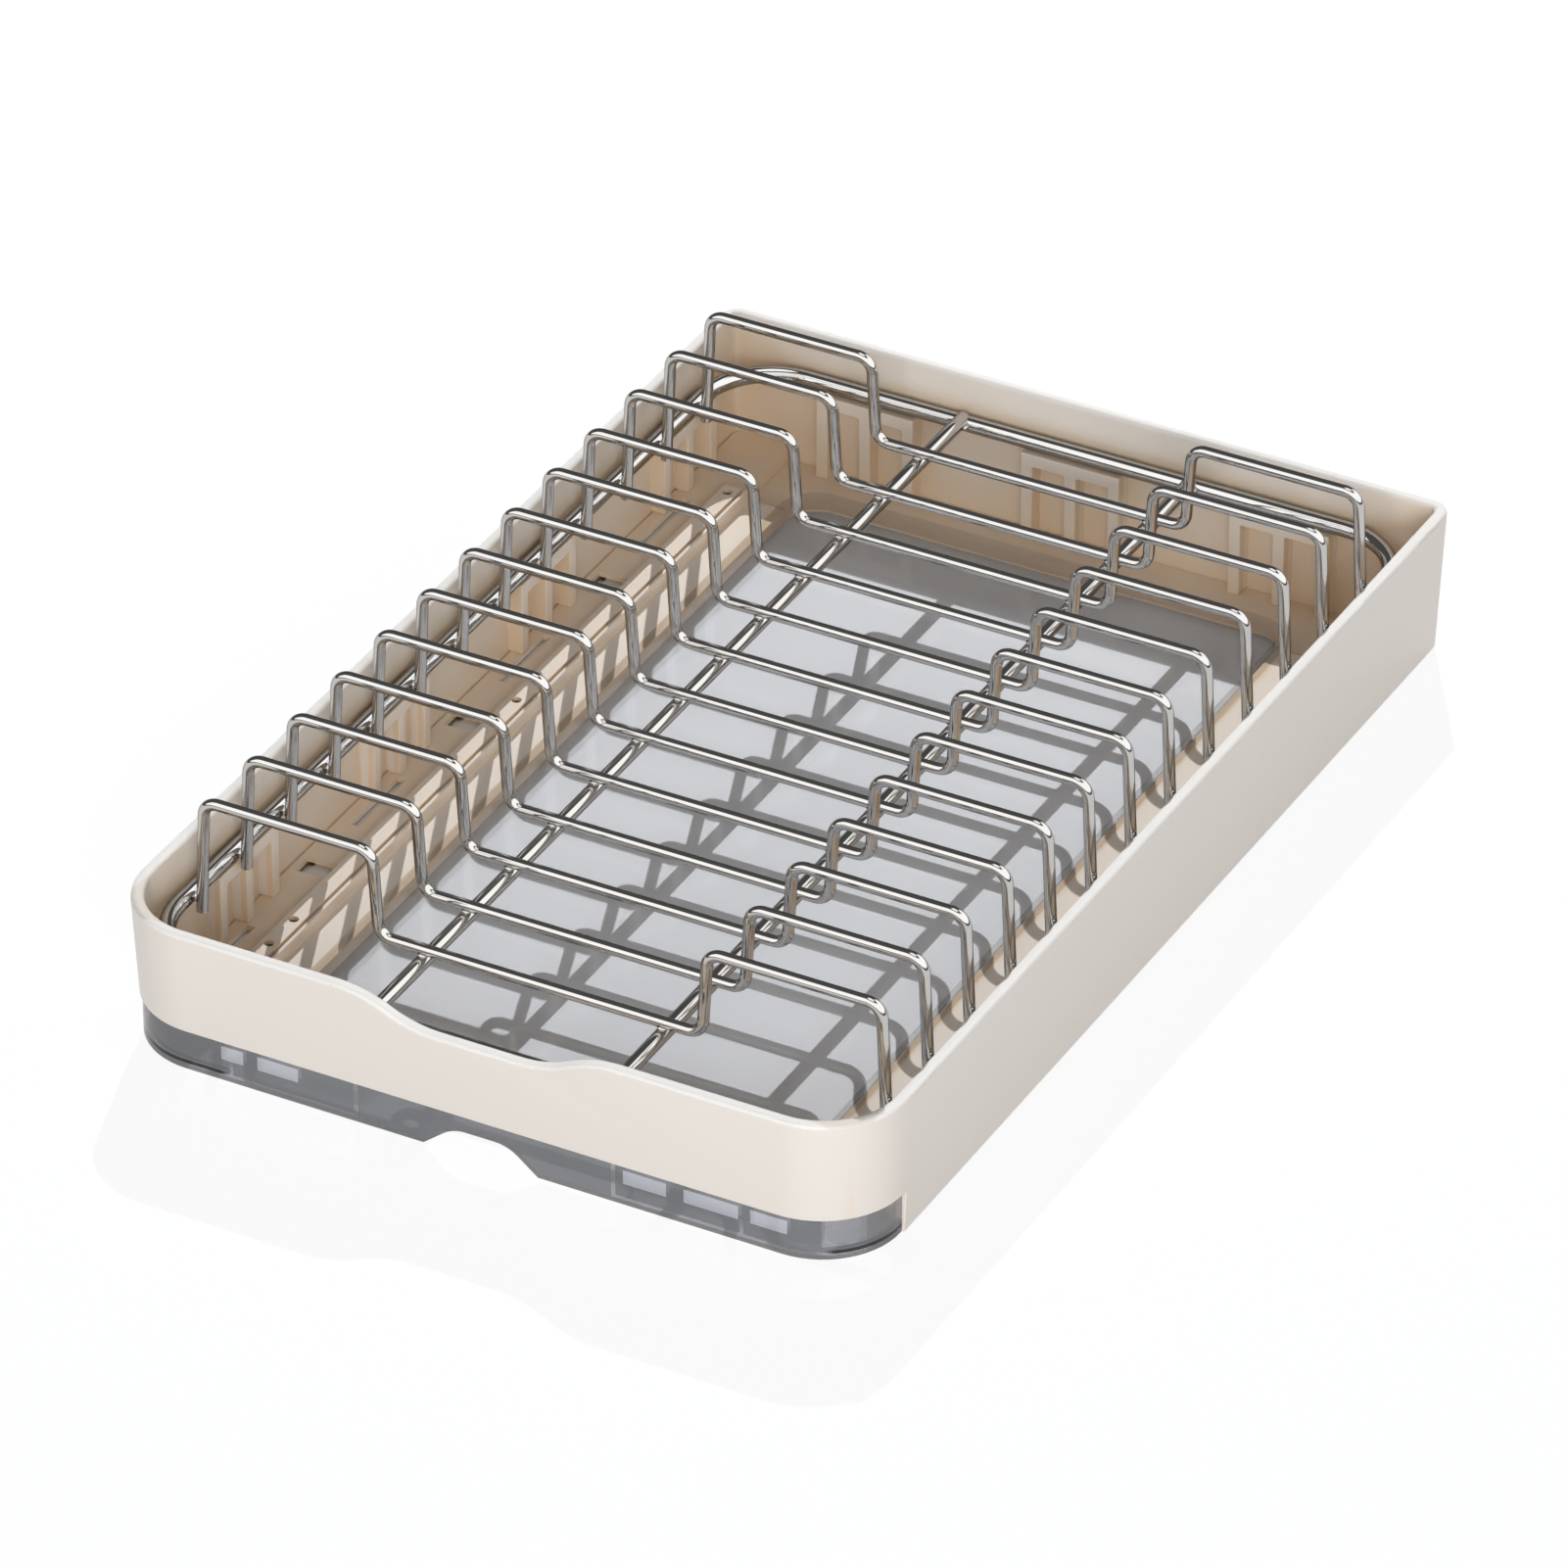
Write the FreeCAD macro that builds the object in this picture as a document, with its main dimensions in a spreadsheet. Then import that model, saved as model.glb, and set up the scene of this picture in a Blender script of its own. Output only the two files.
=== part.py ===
import FreeCAD, Part
import math
import os
import re
import Sketcher

# Pull-out dish drawer.
# +Z is up, the drawer pulls out towards -Y and +X is on its right seen from the front.
# The origin is at the middle of the footprint, on the cabinet floor.

doc = FreeCAD.newDocument("dish_drawer")
dims = doc.addObject("Spreadsheet::Sheet", "dims")

# Driving sizes in millimetres

SIZES = {
    # drawer frame
    "width": 280,
    "depth": 430,
    "rim_height": 55,
    "floor_gap": 1,
    "wall": 4.5,
    "draft": 2,
    "front_corner": 30,
    "rear_corner": 7.5,
    "rim_round": 1.9,
    "panel_bottom": 16.9,
    "side_start": 32,
    "dip_depth": 9,
    "dip_half": 52,
    "dip_flat": 14,
    "foot_rib": 2,
    # brackets on the walls, under the rack
    "bracket_width": 38,
    "bracket_rib": 4.5,
    "bracket_bar": 5,
    "bracket_margin": 63.5,
    "bracket_shift": 14.5,
    "bracket_reach": 2.1,
    "rear_bracket_margin": 60,
    "rear_bracket_reach": 3.4,
    # wire rack
    "ring_wire": 6,
    "ring_height": 39.2,
    "ring_inset": 9.4,
    "ring_end_inset": 9.2,
    "ring_corner": 27,
    "rod_wire": 5.2,
    "rod_rise": 1.6,
    "left_rod_inset": 16.4,
    "right_rod_inset": 14.4,
    "hoop_wire": 4,
    "hoop_margin": 33.6,
    "hoop_bend": 5.5,
    "arch_height": 77.4,
    "arch_width": 62.6,
    "leg_lean": 1.7,
    "leg_tail": 5,
    "plate_lean": 1.9,
    # slide rails
    "rail_margin": 35,
    "rail_steel": 1.2,
    "rail_inset": 8.2,
    "track_width": 14.3,
    "track_height": 5.6,
    "base_width": 27.3,
    "lip": 1.9,
    "lip_steel": 1,
    "ball": 2.4,
    "ball_play": 0.05,
    "ball_pitch": 14,
    "ball_height": 3.1,
    "retainer_length": 87,
    "retainer_steel": 0.35,
    "retainer_lift": 0.25,
    "retainer_shift": 3.5,
    "retainer_play": 0.04,
    "inner_steel": 1,
    "inner_ahead": 2,
    "inner_stop": 7,
    "inner_bottom": 2.2,
    "screw_hole": 4.2,
    "first_screw": 45.7,
    "last_screw": 14.3,
    "extra_screw": 16,
    "rail_play": 0.5,
    # moulded housings over the rails
    "channel_floor": 8.5,
    "channel_thick": 2,
    "strip_top": 11.9,
    "strip_width": 6.6,
    "strip_wall": 1.5,
    "strip_gap": 0.2,
    "strip_end": 45,
    "access_hole": 3.6,
    "housing_seam": 0.55,
    "window_long": 32,
    "window_wide": 3,
    "window_gap": 0.2,
    "window_shift": 6,
    "window_margin": 65,
    "opening_long": 9,
    "opening_wide": 11.5,
    "opening_gap": 2.2,
    # screws that hold the inner rails
    "screw_head": 4.4,
    "screw_head_high": 1.3,
    "screw_shank": 2.4,
    "screw_bite": 1.5,
    "socket": 2,
    # frame that carries the drip tray
    "ledge_top": 7,
    "ledge_width": 17.1,
    "ledge_thick": 2,
    "ledge_gap": 0.9,
    "upstand": 11.6,
    "upstand_thick": 1.4,
    "apron": 1.4,
    "rear_plate_top": 2.6,
    "rear_plate_thick": 1,
    "rear_plate_front": 30.5,
    "end_web": 2,
    "pocket": 6,
    "pocket_side": 3.5,
    "pocket_back": 3,
    # drip tray
    "pan_wall": 1.3,
    "pan_corner": 12,
    "tray_bottom": 1.4,
    "tray_floor": 1.2,
    "flange": 3.2,
    "flange_thick": 1.1,
    "fascia": 2.2,
    "fascia_corner": 28,
    "fascia_inset": 2.6,
    "panel_gap": 0.3,
    "dam_inset": 5.2,
    "pull_half": 47.25,
    "pull_wall": 1.5,
    "pull_deep": 17.1,
    "notch_half": 21,
    "notch_top": 10.2,
    "notch_flat": 10,
    "notch_round": 13,
    "clearance": 0.5,
    "slip": 0.3,
    "seat_gap": 0.1,
    # how far a cutting shape runs past the surface that it cuts
    "past": 5,
}

for row, (size_name, size_value) in enumerate(SIZES.items(), start=1):
    dims.set("A%d" % row, size_name)
    dims.set("B%d" % row, str(size_value))
    dims.setAlias("B%d" % row, size_name)
doc.recompute()

HOOPS = 13
SIDES = {"left": -1, "right": 1}
SIDE_BRACKETS = (-1.5, -0.5, 0.5, 1.5)
REAR_BRACKETS = (-1, 0, 1)
BALLS = (-2.5, -1.5, -0.5, 0.5, 1.5, 2.5)
RAIL_SCREWS = (-1.25, -0.2, 0.8, 1.67)
DIP_EASE = 0.97
TOUCH = 0.1


# Bound sizes, sketches and features

def bound(text):
    """The formula with every named size pointed at its cell."""
    return re.sub("[a-z_]+", lambda word: "dims." + word.group() if word.group() in SIZES else word.group(),
                  str(text))


def value(text):
    """What a formula gives now."""
    return float(dims.evalExpression(bound(text)))


def bind(item, **formulas):
    """Tie properties to formulas. Two underscores in a name stand for a dot."""
    for key, text in formulas.items():
        item.setExpression(key.replace("__", "."), bound(text))


def new_body(label):
    body = doc.addObject("PartDesign::Body", label)
    body.Label = label
    return body


def new_sketch(body, name, plane, offset):
    """A sketch on one of the body's own planes, moved along that plane's normal."""
    sketch = body.newObject("Sketcher::SketchObject", name)
    support = [item for item in body.Origin.OriginFeatures if item.Role == plane + "_Plane"][0]
    sketch.AttachmentSupport = [(support, "")]
    sketch.MapMode = "FlatFace"
    bind(sketch, AttachmentOffset__Base__z=offset)
    return sketch


def place(sketch, item, point, u, v):
    """Fix one point of a sketch at bound distances from its origin."""
    for kind, text in (("DistanceX", u), ("DistanceY", v)):
        index = sketch.addConstraint(Sketcher.Constraint(kind, -1, 1, item, point, value(text)))
        sketch.setExpression("Constraints[%d]" % index, bound(text))


def rounded(before, corner, after, radius):
    """Centre, end points and angles of the arc that rounds a corner."""
    first = (before - corner).normalize()
    last = (after - corner).normalize()
    half = first.getAngle(last) / 2
    reach = radius / math.tan(half)
    centre = corner + (first + last).normalize() * (radius / math.sin(half))
    start = corner + first * reach
    end = corner + last * reach
    return centre, start, end


def outline(body, name, plane, offset, corners, closed=True):
    """Straight sides between bound corners. A corner with a third formula is rounded to that radius."""
    sketch = new_sketch(body, name, plane, offset)
    points = [FreeCAD.Vector(value(corner[0]), value(corner[1]), 0) for corner in corners]
    count = len(points)
    starts = list(points)
    ends = list(points)
    arcs = {}
    for index, corner in enumerate(corners):
        if len(corner) == 3:
            radius = value(corner[2])
            after = points[(index + 1) % count]
            centre, start, end = rounded(points[index - 1], points[index], after, radius)
            arcs[index] = (centre, start, end, radius)
            starts[index] = end
            ends[index] = start
    sides = count if closed else count - 1
    for index in range(sides):
        sketch.addGeometry(Part.LineSegment(starts[index], ends[(index + 1) % count]))
    for index, corner in enumerate(corners):
        line_in = (index - 1) % sides if closed else index - 1
        if index in arcs:
            centre, start, end, radius = arcs[index]
            from_angle = math.atan2(start.y - centre.y, start.x - centre.x)
            to_angle = math.atan2(end.y - centre.y, end.x - centre.x)
            turn = (to_angle - from_angle) % (2 * math.pi)
            forward = turn < math.pi
            angles = (from_angle, from_angle + turn) if forward else (to_angle, to_angle + 2 * math.pi - turn)
            circle = Part.Circle(centre, FreeCAD.Vector(0, 0, 1), radius)
            arc = sketch.addGeometry(Part.ArcOfCircle(circle, *angles))
            sketch.addConstraint(Sketcher.Constraint("Tangent", line_in, 2, arc, 1 if forward else 2))
            sketch.addConstraint(Sketcher.Constraint("Tangent", index, 1, arc, 2 if forward else 1))
            size = sketch.addConstraint(Sketcher.Constraint("Radius", arc, radius))
            sketch.setExpression("Constraints[%d]" % size, bound(corner[2]))
            tip = sketch.addGeometry(Part.Point(points[index]), True)
            sketch.addConstraint(Sketcher.Constraint("PointOnObject", tip, 1, line_in))
            sketch.addConstraint(Sketcher.Constraint("PointOnObject", tip, 1, index))
            place(sketch, tip, 1, corner[0], corner[1])
        elif index < sides:
            if closed or index > 0:
                sketch.addConstraint(Sketcher.Constraint("Coincident", line_in, 2, index, 1))
            place(sketch, index, 1, corner[0], corner[1])
        else:
            place(sketch, line_in, 2, corner[0], corner[1])
    return sketch


def circles(body, name, plane, offset, rings):
    """Circles given by bound centre and diameter."""
    sketch = new_sketch(body, name, plane, offset)
    for u, v, diameter in rings:
        centre = FreeCAD.Vector(value(u), value(v), 0)
        item = sketch.addGeometry(Part.Circle(centre, FreeCAD.Vector(0, 0, 1), value(diameter) / 2))
        size = sketch.addConstraint(Sketcher.Constraint("Diameter", item, value(diameter)))
        sketch.setExpression("Constraints[%d]" % size, bound(diameter))
        place(sketch, item, 3, u, v)
    return sketch


def rectangle(u_low, u_high, v_low, v_high):
    return [(u_low, v_low), (u_high, v_low), (u_high, v_high), (u_low, v_high)]


def mirrored(side, corners):
    """The same outline on the other side where side is -1."""
    return [("%d * (%s)" % (side, corner[0]),) + tuple(corner[1:]) for corner in corners]


def pad(body, sketch, length, reverse=False, both=False):
    """Solid grown from a sketch along its plane's normal, the other way, or half each way."""
    feature = body.newObject("PartDesign::Pad", sketch.Name + "_pad")
    feature.Profile = sketch
    feature.Reversed = reverse
    feature.Midplane = both
    bind(feature, Length=length)
    doc.recompute()
    return feature


def cut(body, sketch, length, reverse=False, both=False):
    """Material taken away behind a sketch's plane, in front of it, or half each way."""
    before = body.Shape.Volume
    feature = body.newObject("PartDesign::Pocket", sketch.Name + "_cut")
    feature.Profile = sketch
    feature.Reversed = reverse
    feature.Midplane = both
    bind(feature, Length=length)
    doc.recompute()
    if body.Shape.Volume > before - 1e-3:
        raise RuntimeError(sketch.Name + " cuts nothing")
    return feature


def loft(body, kind, lower, upper):
    feature = body.newObject("PartDesign::" + kind, lower.Name + "_loft")
    feature.Profile = lower
    feature.Sections = [upper]
    feature.Ruled = True
    doc.recompute()
    return feature


def round_edges(body, name, radius, chosen):
    """Round the edges for which the test holds."""
    base = body.Tip
    edges = ["Edge%d" % number for number, edge in enumerate(base.Shape.Edges, start=1) if chosen(edge)]
    feature = body.newObject("PartDesign::Fillet", name)
    feature.Base = (base, edges)
    bind(feature, Radius=radius)
    doc.recompute()
    return feature


def wire_along(body, name, path, profile):
    """Round wire swept along a path."""
    feature = body.newObject("PartDesign::AdditivePipe", name)
    feature.Profile = profile
    feature.Spine = (path, ["Edge%d" % (number + 1) for number in range(len(path.Shape.Edges))])
    doc.recompute()
    return feature


nodes = []


# Places worked out from the sizes

RING_X = "(width / 2 - ring_inset)"
RING_Y = "(depth / 2 - ring_end_inset)"
LEG_X = "(width / 2 - ring_inset - ring_wire / 2 - hoop_wire / 2)"
LOW_END = "(width / 2 - ring_inset - ring_wire / 2 - hoop_wire / 2 - leg_lean - arch_width - plate_lean)"
ROD_Z = "(ring_height + rod_rise)"
LOW_Z = "(ring_height + rod_rise + rod_wire / 2 + hoop_wire / 2)"
HOOP_PITCH = "((depth - 2 * ring_end_inset - 2 * hoop_margin) / %d)" % (HOOPS - 1)
BRACKET_PITCH = "((depth - 2 * bracket_margin) / 3)"
REAR_BRACKET_PITCH = "((width - 2 * rear_bracket_margin) / 2)"
BRACKET_FACE = "(width / 2 - ring_inset - bracket_reach)"
WINDOW_PITCH = "((depth - 2 * window_margin) / 3)"
REAR_WALL = "(depth / 2 - draft - wall)"
SIDE_WALL = "(width / 2 - draft - wall)"
SIDE_FRONT = "(side_start - depth / 2)"
WALL_LEAN = "(draft * (channel_floor - floor_gap) / (rim_height - floor_gap))"
RAIL_END = "(depth / 2 - rail_margin)"
SCREW_PITCH = "((depth - 2 * rail_margin - first_screw - last_screw) / 2)"
TRACK_OUT = "(width / 2 - rail_inset)"
TRACK_IN = "(width / 2 - rail_inset - track_width)"
BASE_IN = "(width / 2 - rail_inset - base_width)"
BALL_OUT = "(width / 2 - rail_inset - rail_steel - ball_play - ball / 2)"
BALL_IN = "(width / 2 - rail_inset - track_width + rail_steel + ball_play + ball / 2)"
INNER_OUT = "(width / 2 - rail_inset - rail_steel - 2 * ball_play - ball)"
INNER_IN = "(width / 2 - rail_inset - track_width + rail_steel + 2 * ball_play + ball)"
RAIL_MIDDLE = "(width / 2 - rail_inset - track_width / 2)"
CHANNEL_UNDER = "(channel_floor - channel_thick)"
STRIP_OUT = "(width / 2 - rail_inset - track_width - strip_gap)"
STRIP_IN = "(width / 2 - rail_inset - track_width - strip_gap - strip_width)"
SCREW_X = "(width / 2 - rail_inset - track_width - strip_gap - strip_width / 2)"
HOUSING_OUT = "(%s + %s - housing_seam)" % (SIDE_WALL, WALL_LEAN)
LEDGE_OUT = "(%s + strip_wall - slip)" % STRIP_IN
UPSTAND_OUT = "(%s - ledge_gap)" % STRIP_IN
APRON_IN = "(%s - ledge_width)" % LEDGE_OUT
PAN_OUT = "(%s - clearance)" % APRON_IN
PAN_IN = "(%s - pan_wall)" % PAN_OUT
FRONT_FACE = "(fascia_inset - depth / 2)"
TRAY_SIDE = "(width / 2 - fascia_inset)"
TRAY_TOP = "(panel_bottom - panel_gap)"
TRAY_END = "(side_start - depth / 2 - slip)"
PAN_REAR = "(depth / 2 - rear_plate_front - clearance)"
STRIP_REAR = "(depth / 2 - strip_end)"


# Drawer frame: walls with a rolled rim, finger dip, brackets and notches for the rails

def wall_outline(body, name, height, inward, shrink):
    """The plan of the walls at one height, drawn in from the outer face."""
    half_x = "(width / 2 - %s)" % inward
    half_y = "(depth / 2 - %s)" % inward
    front = "front_corner - %s" % shrink
    rear = "rear_corner - %s" % shrink
    return outline(body, name, "XY", height, [
        ("-" + half_x, "-" + half_y, front), (half_x, "-" + half_y, front),
        (half_x, half_y, rear), ("-" + half_x, half_y, rear)])


def comb(left, right, top, bottom):
    """Bracket outline: a bar with three legs under it."""
    middle = "((%s + %s) / 2)" % (left, right)
    under = "(%s - bracket_bar)" % top
    return [
        (left, bottom), (left, top), (right, top), (right, bottom),
        (right + " - bracket_rib", bottom), (right + " - bracket_rib", under),
        (middle + " + bracket_rib / 2", under), (middle + " + bracket_rib / 2", bottom),
        (middle + " - bracket_rib / 2", bottom), (middle + " - bracket_rib / 2", under),
        (left + " + bracket_rib", under), (left + " + bracket_rib", bottom)]


def make_frame():
    body = new_body("drawer_frame")
    low = wall_outline(body, "shell_low", "floor_gap", "draft", "0")
    high = wall_outline(body, "shell_high", "rim_height", "0", "0")
    loft(body, "AdditiveLoft", low, high)
    low = wall_outline(body, "bore_low", "floor_gap", "draft - wall", "wall")
    high = wall_outline(body, "bore_high", "rim_height", "wall", "wall")
    loft(body, "SubtractiveLoft", low, high)

    front = outline(body, "front_gap", "YZ", "0", [
        ("-depth / 2 - past", "-past"), (SIDE_FRONT, "-past"), (SIDE_FRONT, "panel_bottom"),
        ("-depth / 2 - past", "panel_bottom")])
    cut(body, front, "width + 2 * past", both=True)

    run = "((dip_half - dip_flat) / 2)"
    steep = "(%s * (1 - (dip_depth / (2 * %s))^2) / 2)" % (run, run)
    upper = "((dip_half + dip_flat) / 2 + %s)" % steep
    lower = "((dip_half + dip_flat) / 2 - %s)" % steep
    bend = "%g * (%s^2 + dip_depth^2 / 4) / dip_depth" % (DIP_EASE, run)
    edge = "(dip_half + wall)"
    base = "rim_height - dip_depth"
    dip = outline(body, "finger_dip", "XZ", "depth / 2 + past", [
        ("-" + edge, "rim_height + past"), ("-" + edge, "rim_height"), ("-" + upper, "rim_height", bend),
        ("-" + lower, base, bend), (lower, base, bend), (upper, "rim_height", bend),
        (edge, "rim_height"), (edge, "rim_height + past")])
    cut(body, dip, "wall + 2 * past")

    rim_low = value("rim_height - dip_depth") - TOUCH
    round_edges(body, "rim_rounding", "rim_round", lambda edge: edge.BoundBox.ZMin > rim_low)

    notch_in = BASE_IN + " - rail_play"
    step_in = TRACK_IN + " - rail_play"
    notch_out = TRACK_OUT + " + rail_play"
    notch_top = "track_height + rail_play"
    for name, side in SIDES.items():
        notch = outline(body, name + "_rail_notch", "XZ", "past - %s" % REAR_WALL, mirrored(side, [
            (notch_in, "floor_gap - past"), (notch_in, "rail_steel + slip"), (step_in, "rail_steel + slip"),
            (step_in, notch_top), (notch_out, notch_top), (notch_out, "floor_gap - past")]))
        cut(body, notch, "draft + wall + 2 * past")
        rib = outline(body, name + "_foot_rib", "XZ", "-" + REAR_WALL, mirrored(side, rectangle(
            notch_out, SIDE_WALL + " + wall / 4", CHANNEL_UNDER + " - foot_rib", CHANNEL_UNDER)))
        pad(body, rib, "%s - %s" % (REAR_WALL, SIDE_FRONT))

    top = "(ring_height - ring_wire / 2 - slip)"
    for name, side in SIDES.items():
        for step in SIDE_BRACKETS:
            centre = "(%g * %s + bracket_shift)" % (step, BRACKET_PITCH)
            shape = comb("(%s - bracket_width / 2)" % centre, "(%s + bracket_width / 2)" % centre, top,
                         "channel_floor")
            bracket = outline(body, "%s_bracket" % name, "YZ", "%d * %s" % (side, BRACKET_FACE), shape)
            pad(body, bracket, "ring_inset - wall + bracket_reach", reverse=side < 0)
    for step in REAR_BRACKETS:
        centre = "(%g * %s)" % (step, REAR_BRACKET_PITCH)
        shape = comb("(%s - bracket_width / 2)" % centre, "(%s + bracket_width / 2)" % centre, top,
                     "rear_plate_top")
        bracket = outline(body, "rear_bracket", "XZ", "rear_bracket_reach - %s" % RING_Y, shape)
        pad(body, bracket, "ring_end_inset - wall + rear_bracket_reach", reverse=True)
    nodes.append(body)


# Slide rails: the outer rails are screwed to the cabinet floor

def make_outer_rail(name, side):
    body = new_body(name + "_slide_outer")
    lip_low = "(track_height - lip_steel)"
    section = outline(body, "%s_outer_section" % name, "XZ", "-" + RAIL_END, mirrored(side, [
        (BASE_IN, "0"), (BASE_IN, "rail_steel"), (TRACK_IN, "rail_steel"), (TRACK_IN, "track_height"),
        (TRACK_IN + " + rail_steel + lip", "track_height"), (TRACK_IN + " + rail_steel + lip", lip_low),
        (TRACK_IN + " + rail_steel", lip_low), (TRACK_IN + " + rail_steel", "rail_steel"),
        (TRACK_OUT + " - rail_steel", "rail_steel"), (TRACK_OUT + " - rail_steel", lip_low),
        (TRACK_OUT + " - rail_steel - lip", lip_low), (TRACK_OUT + " - rail_steel - lip", "track_height"),
        (TRACK_OUT, "track_height"), (TRACK_OUT, "0")]))
    pad(body, section, "2 * " + RAIL_END)
    rings = [("%d * %s" % (side, SCREW_X), place_y, "screw_hole") for place_y in screw_places()]
    cut(body, circles(body, "%s_screw_holes" % name, "XY", "rail_steel", rings), "rail_steel + past")
    nodes.append(body)


def screw_places():
    """Along Y: three holes one pitch apart and one more in front of them."""
    front = "(first_screw - %s)" % RAIL_END
    return [front + " - extra_screw"] + ["%s + %d * %s" % (front, step, SCREW_PITCH) for step in (0, 1, 2)]


def make_bumper(name, side):
    """Rubber buffer at the rear end of the track, behind the inner rail."""
    body = new_body(name + "_rear_bumper")
    section = outline(body, "%s_bumper_section" % name, "XZ", "-" + RAIL_END, mirrored(side, rectangle(
        INNER_IN + " + slip", INNER_OUT + " - slip", "rail_steel", "track_height - lip_steel - slip")))
    pad(body, section, "inner_stop - slip")
    nodes.append(body)


def rail_screw_places():
    """Along Y: the screws of the inner rail, between the windows and the openings of the housing."""
    return ["%g * %s" % (step, WINDOW_PITCH) for step in RAIL_SCREWS]


def make_inner_rail(name, side):
    """Steel channel under the housing, open side down, running between the balls."""
    body = new_body(name + "_slide_inner")
    under = CHANNEL_UNDER
    section = outline(body, "%s_inner_section" % name, "XZ", "inner_stop - %s" % RAIL_END, mirrored(side, [
        (INNER_IN, "inner_bottom"), (INNER_IN, under), (INNER_OUT, under), (INNER_OUT, "inner_bottom"),
        (INNER_OUT + " - inner_steel", "inner_bottom"),
        (INNER_OUT + " - inner_steel", under + " - rail_steel"),
        (INNER_IN + " + inner_steel", under + " - rail_steel"),
        (INNER_IN + " + inner_steel", "inner_bottom")]))
    pad(body, section, "2 * %s - inner_stop + inner_ahead" % RAIL_END)
    rings = [("%d * %s" % (side, RAIL_MIDDLE), place_y, "screw_shank + 2 * seat_gap")
             for place_y in rail_screw_places()]
    cut(body, circles(body, "%s_inner_holes" % name, "XY", under, rings), "2 * rail_steel")
    nodes.append(body)


def ball_place(step):
    """Along Y: one ball of a row."""
    return "%g * ball_pitch - retainer_shift" % step


def make_retainer(name, side):
    """Thin cage that spaces the balls along both sides of the track."""
    body = new_body(name + "_ball_retainer")
    half = "retainer_steel / 2"
    low = "rail_steel + retainer_lift"
    web = "rail_steel + retainer_lift + retainer_steel"
    high = "track_height - lip_steel - seat_gap"
    start = "retainer_shift - retainer_length / 2"
    section = outline(body, "%s_retainer_section" % name, "XZ", start, mirrored(side, [
        (BALL_IN + " - " + half, low), (BALL_OUT + " + " + half, low), (BALL_OUT + " + " + half, high),
        (BALL_OUT + " - " + half, high), (BALL_OUT + " - " + half, web), (BALL_IN + " + " + half, web),
        (BALL_IN + " + " + half, high), (BALL_IN + " - " + half, high)]))
    pad(body, section, "retainer_length")
    rings = [(ball_place(step), "ball_height", "ball + retainer_play") for step in BALLS]
    holes = circles(body, "%s_ball_holes" % name, "YZ", "%d * %s" % (side, RAIL_MIDDLE), rings)
    cut(body, holes, "2 * track_width", both=True)
    nodes.append(body)


def make_balls(name, side):
    group = doc.addObject("Part::Compound", name + "_slide_balls")
    spheres = []
    for row in (BALL_IN, BALL_OUT):
        for step in BALLS:
            sphere = doc.addObject("Part::Sphere", "%s_ball" % name)
            bind(sphere, Radius="ball / 2", Placement__Base__x="%d * %s" % (side, row),
                 Placement__Base__y=ball_place(step), Placement__Base__z="ball_height")
            spheres.append(sphere)
    group.Links = spheres
    group.Label = name + "_slide_balls"
    nodes.append(group)


def make_rail_screws(name, side):
    """Short screws that hold the inner rail up against the housing."""
    group = doc.addObject("Part::Compound", name + "_rail_screws")
    under = "(%s - rail_steel)" % CHANNEL_UNDER
    screws = []
    for place_y in rail_screw_places():
        head = doc.addObject("Part::Cylinder", "screw_head")
        bind(head, Radius="screw_head / 2", Height="screw_head_high",
             Placement__Base__z=under + " - screw_head_high")
        shank = doc.addObject("Part::Cylinder", "screw_shank")
        bind(shank, Radius="screw_shank / 2", Height="rail_steel + screw_bite", Placement__Base__z=under)
        blank = doc.addObject("Part::Fuse", "screw_blank")
        blank.Base = head
        blank.Tool = shank
        socket = doc.addObject("Part::Prism", "screw_socket")
        socket.Polygon = 6
        bind(socket, Circumradius="socket / sqrt(3)", Height="screw_head_high / 2 + past",
             Placement__Base__z=under + " - screw_head_high - past")
        screw = doc.addObject("Part::Cut", "%s_screw" % name)
        screw.Base = blank
        screw.Tool = socket
        bind(screw, Placement__Base__x="%d * %s" % (side, RAIL_MIDDLE), Placement__Base__y=place_y)
        screws.append(screw)
    group.Links = screws
    group.Label = name + "_rail_screws"
    nodes.append(group)


# Moulded housings: the channel beside each wall and the raised strip over the screws

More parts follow.
